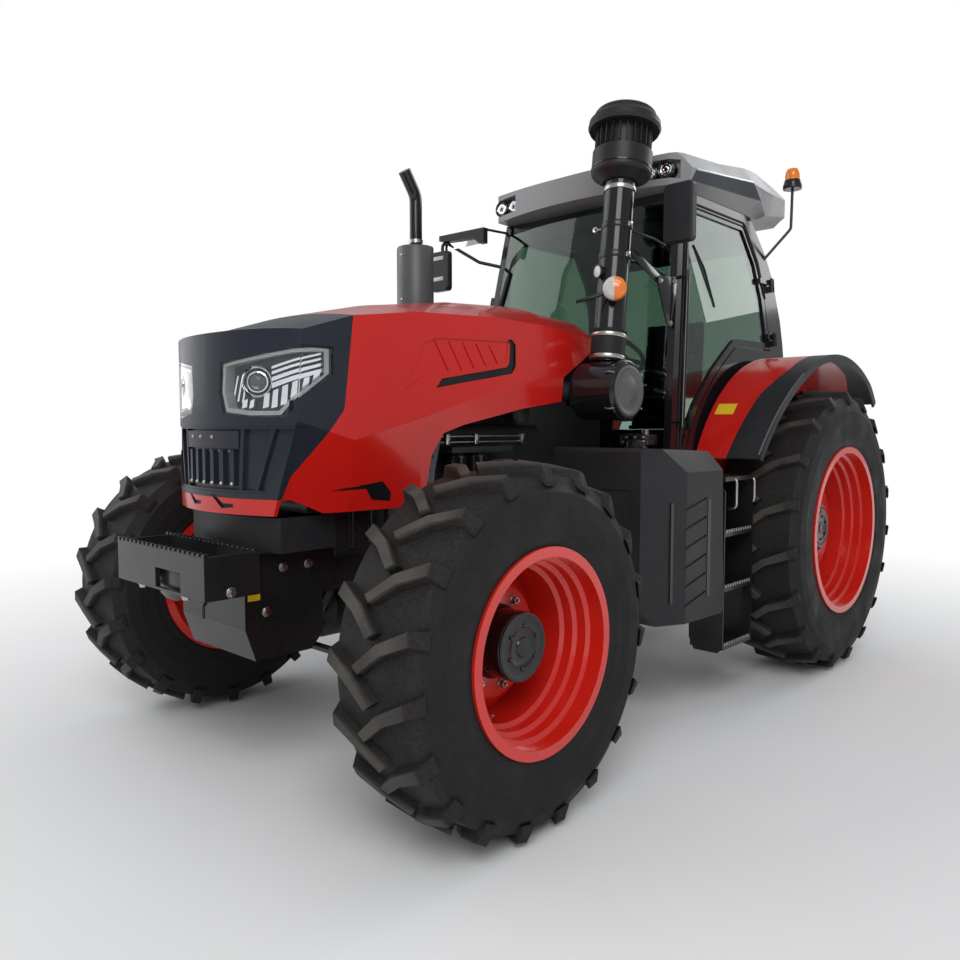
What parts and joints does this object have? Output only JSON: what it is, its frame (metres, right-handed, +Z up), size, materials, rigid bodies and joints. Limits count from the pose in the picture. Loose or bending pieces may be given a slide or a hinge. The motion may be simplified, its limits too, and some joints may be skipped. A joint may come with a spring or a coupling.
{
  "type": "farm tractor",
  "caption": "Four-wheel-drive farm tractor with closed cab, sloping hood, upright air intake and exhaust, ballast bracket, fuel tank with steps and rear three-point hitch.",
  "frame": {"origin": "on the ground, under the middle of the overall box", "axes": "-Y towards the front, +X towards the tractor's left, +Z up"},
  "size_m": [2.589, 4.896, 3.1969],
  "materials": {
    "tyre": "matt black rubber",
    "rim_red": "gloss red",
    "red_paint": "gloss red",
    "black_cast": "satin black over castings",
    "grey_cast": "satin dark grey",
    "black_paint": "gloss black",
    "navy_plastic": "satin blue-black",
    "dark_plastic": "grained dark grey",
    "grey_plastic": "satin silver grey",
    "lens": "clear lens over bright reflectors",
    "glass": "green-tinted",
    "amber": "amber",
    "fabric": "dark woven"
  },
  "bodies": {
    "chassis": {"front_axle": "black_cast", "front_frame": "black_cast", "nose_apron": "dark_plastic", "ballast_bracket": "black_cast", "engine_block": "grey_cast", "radiator": "black_cast", "transmission_housing": "black_cast", "rear_axle_housing": "black_cast", "hitch_housing": "black_cast", "cowl": "dark_plastic", "cab_platform": "black_cast", "cab_frame": "black_paint", "cab_windows": "glass", "cab_roof": "grey_plastic", "lamps": "lens", "fenders": "red_paint", "fender_flares": "dark_plastic", "fuel_tank": "dark_plastic", "side_box": "dark_plastic", "steps": "black_paint", "air_filter": "black_paint", "intake_stack": "black_paint", "pre_cleaner": "dark_plastic", "muffler": "grey_cast", "exhaust_pipe": "black_paint", "mirrors": "dark_plastic", "beacon": "amber", "driver_seat": "fabric", "dash_console": "dark_plastic", "steering_wheel": "dark_plastic", "drawbar": "black_cast"},
    "hood": {"hood_shell": "red_paint", "nose_mask": "navy_plastic", "headlights": "lens", "grille": "navy_plastic"},
    "knuckle_left": {"knuckle_left": "black_cast"},
    "knuckle_right": {"knuckle_right": "black_cast"},
    "tie_rod": {"tie_rod": "black_cast"},
    "wheel_front_left": {"tyre_front_left": "tyre", "rim_front_left": "rim_red"},
    "wheel_front_right": {"tyre_front_right": "tyre", "rim_front_right": "rim_red"},
    "wheel_rear_left": {"tyre_rear_left": "tyre", "rim_rear_left": "rim_red"},
    "wheel_rear_right": {"tyre_rear_right": "tyre", "rim_rear_right": "rim_red"},
    "door_left": {"door_frame_left": "black_paint", "door_glass_left": "glass"},
    "door_right": {"door_frame_right": "black_paint", "door_glass_right": "glass"},
    "lower_links": {"lower_links": "black_cast"},
    "lift_arms": {"lift_arms": "black_cast"},
    "lift_rods": {"lift_rods": "black_cast"}
  },
  "joints": [
    {"name": "steer_left", "type": "hinge", "parent": "chassis", "child": "knuckle_left", "pos_m": [0.76, -1.63, 0.688], "axis": [0, 0, 1], "range_deg": [-35, 35]},
    {"name": "steer_right", "type": "hinge", "parent": "chassis", "child": "knuckle_right", "pos_m": [-0.76, -1.63, 0.688], "axis": [0, 0, 1], "range_deg": [-35, 35]},
    {"name": "tie_rod_swing", "type": "hinge", "parent": "knuckle_left", "child": "tie_rod", "pos_m": [0.76, -1.81, 0.538], "axis": [0, 0, 1], "range_deg": [-35, 35]},
    {"name": "spin_front_left", "type": "hinge", "parent": "knuckle_left", "child": "wheel_front_left", "pos_m": [1.069, -1.63, 0.688], "axis": [1, 0, 0], "continuous": true},
    {"name": "spin_front_right", "type": "hinge", "parent": "knuckle_right", "child": "wheel_front_right", "pos_m": [-1.069, -1.63, 0.688], "axis": [1, 0, 0], "continuous": true},
    {"name": "spin_rear_left", "type": "hinge", "parent": "chassis", "child": "wheel_rear_left", "pos_m": [1.057, 1.29, 0.86], "axis": [1, 0, 0], "continuous": true},
    {"name": "spin_rear_right", "type": "hinge", "parent": "chassis", "child": "wheel_rear_right", "pos_m": [-1.057, 1.29, 0.86], "axis": [1, 0, 0], "continuous": true},
    {"name": "hood_open", "type": "hinge", "parent": "chassis", "child": "hood", "pos_m": [0, -0.13, 2.03], "axis": [-1, 0, 0], "range_deg": [0, 45]},
    {"name": "door_left_open", "type": "hinge", "parent": "chassis", "child": "door_left", "pos_m": [0.7356, 1.436, 2.08199], "axis": [-0.0767, 0, 0.9971], "range_deg": [0, 65]},
    {"name": "door_right_open", "type": "hinge", "parent": "chassis", "child": "door_right", "pos_m": [-0.7356, 1.436, 2.08199], "axis": [-0.0767, 0, -0.9971], "range_deg": [0, 65]},
    {"name": "link_lift", "type": "hinge", "parent": "chassis", "child": "lower_links", "pos_m": [0, 1.62, 0.56], "axis": [1, 0, 0], "range_deg": [-12, 25]},
    {"name": "arm_lift", "type": "hinge", "parent": "chassis", "child": "lift_arms", "pos_m": [0, 1.72, 1.085], "axis": [1, 0, 0], "range_deg": [-12, 25]},
    {"name": "rod_swing", "type": "hinge", "parent": "lower_links", "child": "lift_rods", "pos_m": [0, 2.02, 0.56], "axis": [1, 0, 0], "range_deg": [-25, 12]}
  ],
  "couplings": [
    {"joint": "steer_right", "follows": "steer_left", "ratio": 1},
    {"joint": "tie_rod_swing", "follows": "steer_left", "ratio": -1},
    {"joint": "arm_lift", "follows": "link_lift", "ratio": 1},
    {"joint": "rod_swing", "follows": "link_lift", "ratio": -1}
  ]
}
